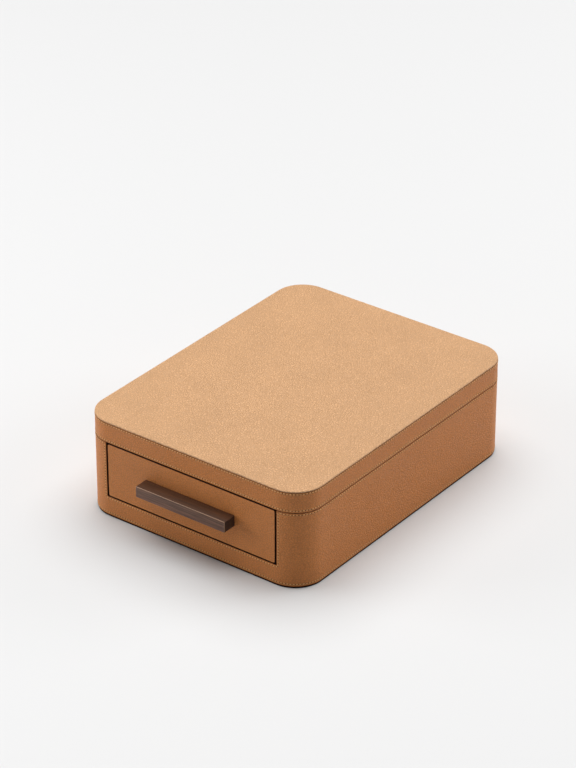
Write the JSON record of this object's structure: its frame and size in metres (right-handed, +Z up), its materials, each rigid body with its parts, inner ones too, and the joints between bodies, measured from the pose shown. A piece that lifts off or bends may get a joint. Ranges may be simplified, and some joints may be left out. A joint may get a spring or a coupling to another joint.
{
  "type": "jewellery box with a drawer",
  "caption": "Low leather-covered jewellery box with round corners, a hinged lid over a lined tray, and a shallow drawer with a wooden bar pull in its short front side.",
  "frame": {"origin": "middle of the base, on the surface that the box stands on", "axes": "+Z up, -Y out of the drawer front, +X to the right of a person facing the drawer"},
  "size_m": [0.2, 0.2757, 0.08],
  "materials": {
    "tan_leather": "fine pebbled grain, satin",
    "carcass_board": "bare board",
    "drawer_wood": "waxed maple",
    "suede_lining": "napped suede",
    "base_suede": "dark suede",
    "felt": "felt",
    "brass": "brushed",
    "walnut": "oiled dark walnut",
    "steel": "plain"
  },
  "bodies": {
    "case": {"case_leather": "tan_leather", "base_board": "carcass_board", "side_wall_left": "carcass_board", "side_wall_right": "carcass_board", "rear_wall": "carcass_board", "corner_block_front_left": "carcass_board", "corner_block_front_right": "carcass_board", "corner_block_rear_left": "carcass_board", "corner_block_rear_right": "carcass_board", "front_sill": "carcass_board", "bay_side_left": "carcass_board", "bay_side_right": "carcass_board", "deck": "carcass_board", "runner_left": "drawer_wood", "runner_right": "drawer_wood", "drawer_stop": "drawer_wood", "tray_front_wall": "suede_lining", "tray_lining": "suede_lining", "tray_cross_divider": "suede_lining", "tray_front_divider": "suede_lining", "tray_rear_divider_left": "suede_lining", "tray_rear_divider_right": "suede_lining", "ring_roll_1": "suede_lining", "ring_roll_2": "suede_lining", "ring_roll_3": "suede_lining", "ring_roll_4": "suede_lining", "ring_roll_5": "suede_lining", "ring_roll_6": "suede_lining", "ring_roll_7": "suede_lining", "base_pad": "base_suede", "drawer_bumpers": "felt", "hinge_case_leaf_left": "brass", "hinge_case_leaf_right": "brass", "hinge_pin_left": "brass", "hinge_pin_right": "brass", "hinge_case_screws": "brass"},
    "lid": {"lid_core": "carcass_board", "lid_top_leather": "tan_leather", "lid_band_leather": "tan_leather", "lid_recess_lining": "suede_lining", "lid_pad": "suede_lining", "hinge_lid_leaf_left": "brass", "hinge_lid_leaf_right": "brass", "hinge_lid_screws": "brass"},
    "drawer": {"drawer_front_core": "carcass_board", "drawer_front_leather": "tan_leather", "drawer_side_left": "drawer_wood", "drawer_side_right": "drawer_wood", "drawer_back": "drawer_wood", "drawer_bottom": "drawer_wood", "drawer_lining": "suede_lining", "drawer_long_divider": "suede_lining", "drawer_cross_divider_front": "suede_lining", "drawer_cross_divider_rear": "suede_lining", "drawer_pull": "walnut", "pull_screws": "steel"}
  },
  "joints": [
    {"name": "lid_hinge", "type": "hinge", "parent": "case", "child": "lid", "pos_m": [0, 0.1314, 0.06245], "axis": [-1, 0, 0], "range_deg": [0, 95]},
    {"name": "drawer_slide", "type": "slide", "parent": "case", "child": "drawer", "axis": [0, -1, 0], "range_m": [0, 0.18]}
  ]
}
